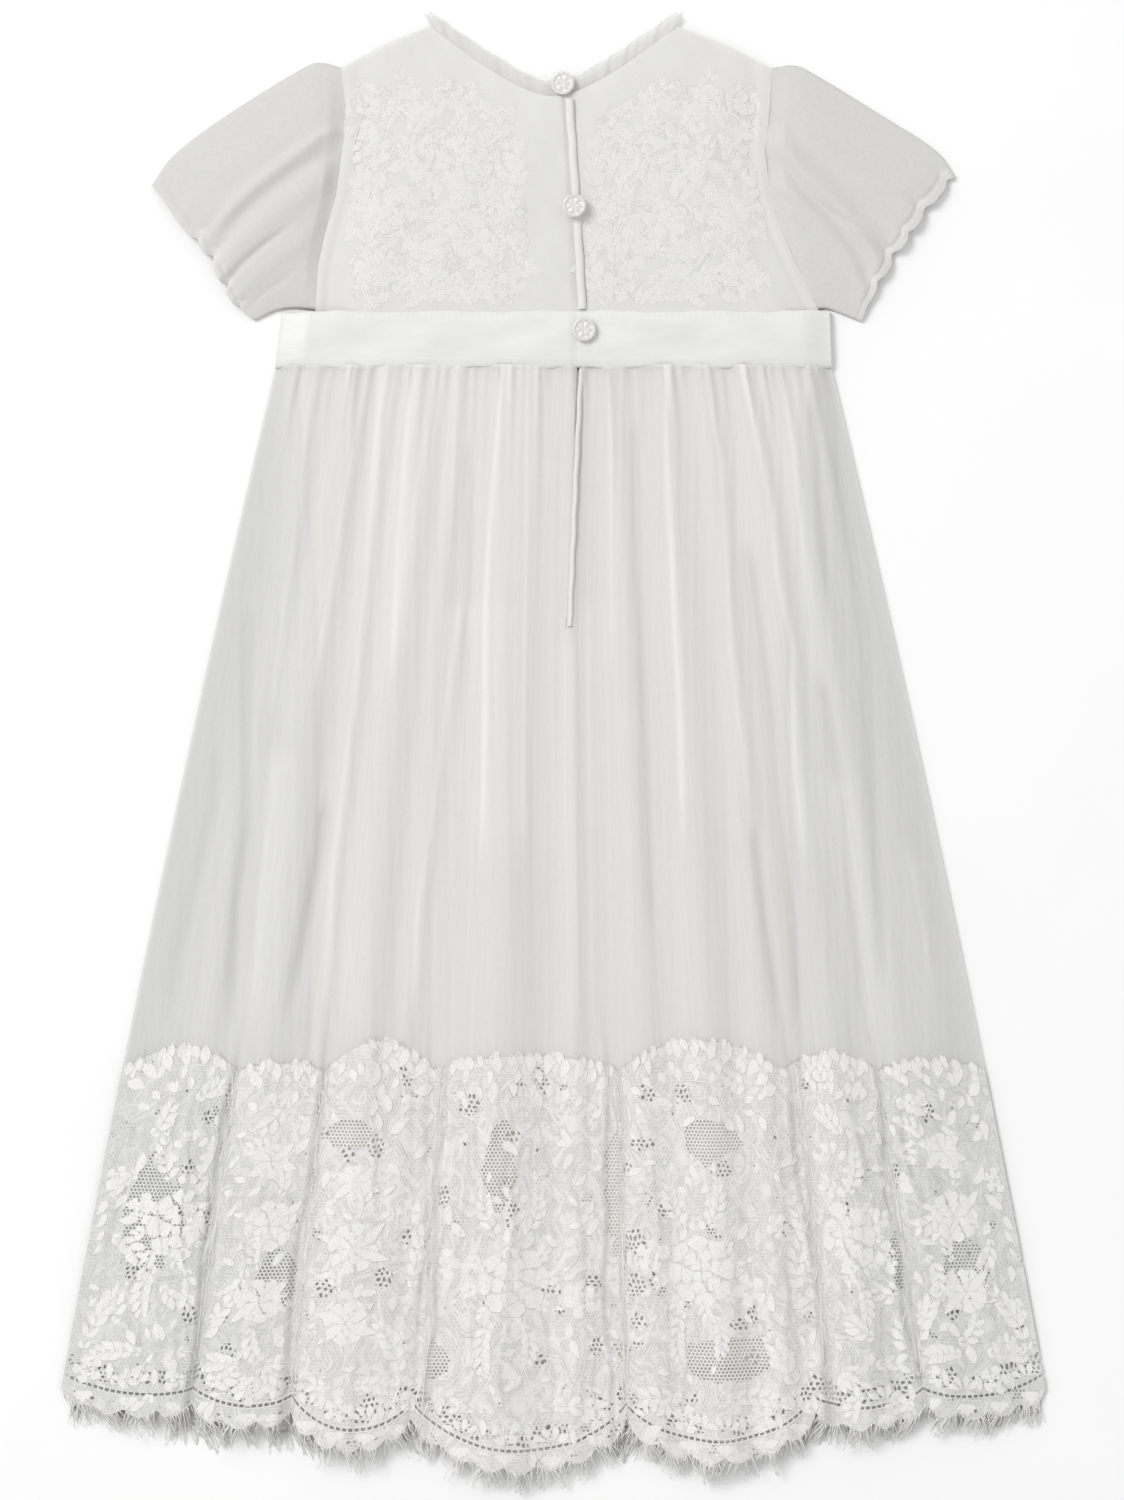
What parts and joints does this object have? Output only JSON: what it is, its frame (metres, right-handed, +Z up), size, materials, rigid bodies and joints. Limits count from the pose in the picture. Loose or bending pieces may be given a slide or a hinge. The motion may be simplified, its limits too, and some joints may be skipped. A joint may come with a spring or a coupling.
{
  "type": "baby dress",
  "caption": "Baby's chiffon dress laid flat on its front: puff sleeves, lace bodice with a buttoned back, ribbon sash and a gathered, lined skirt with a deep scalloped lace hem.",
  "frame": {"origin": "on the surface that the dress lies on, in the middle of its outline's width and length", "axes": "+Z up from the surface, +Y from the hem towards the neck, +X to the right as the back of the dress is looked at"},
  "size_m": [0.3936, 0.5928, 0.0103],
  "materials": {
    "bodice_front": "corded floral lace on a fine net, off-white",
    "bodice_back_left": "corded floral lace on a fine net, off-white",
    "bodice_back_right": "corded floral lace on a fine net, off-white",
    "bodice_placket": "corded floral lace on a fine net, off-white",
    "neck_frill_front": "sheer matt chiffon, off-white",
    "neck_frill_back_left": "sheer matt chiffon, off-white",
    "neck_frill_back_right": "sheer matt chiffon, off-white",
    "sleeve_left": "sheer matt chiffon, off-white",
    "sleeve_right": "sheer matt chiffon, off-white",
    "sash_front": "satin ribbon, white, soft sheen",
    "sash_back_left": "satin ribbon, white, soft sheen",
    "sash_back_right": "satin ribbon, white, soft sheen",
    "skirt_front": "sheer matt chiffon, off-white",
    "skirt_back_left": "sheer matt chiffon, off-white",
    "skirt_back_right": "sheer matt chiffon, off-white",
    "skirt_placket": "sheer matt chiffon, off-white",
    "lining_front": "plain matt lining, cream",
    "lining_back": "plain matt lining, cream",
    "lace_front": "corded floral lace on a fine net, off-white",
    "lace_back": "corded floral lace on a fine net, off-white",
    "fringe_front": "corded floral lace on a fine net, off-white",
    "fringe_back": "corded floral lace on a fine net, off-white",
    "button_neck": "clear faceted middle in a pearly rim",
    "button_bodice": "clear faceted middle in a pearly rim",
    "button_sash": "clear faceted middle in a pearly rim"
  },
  "bodies": {
    "root": {"bodice_front": "bodice_front", "bodice_back_left": "bodice_back_left", "bodice_back_right": "bodice_back_right", "bodice_placket": "bodice_placket", "neck_frill_front": "neck_frill_front", "neck_frill_back_left": "neck_frill_back_left", "neck_frill_back_right": "neck_frill_back_right", "sleeve_left": "sleeve_left", "sleeve_right": "sleeve_right", "sash_front": "sash_front", "sash_back_left": "sash_back_left", "sash_back_right": "sash_back_right", "skirt_front": "skirt_front", "skirt_back_left": "skirt_back_left", "skirt_back_right": "skirt_back_right", "skirt_placket": "skirt_placket", "lining_front": "lining_front", "lining_back": "lining_back", "lace_front": "lace_front", "lace_back": "lace_back", "fringe_front": "fringe_front", "fringe_back": "fringe_back", "button_neck": "button_neck", "button_bodice": "button_bodice", "button_sash": "button_sash"}
  },
  "joints": []
}
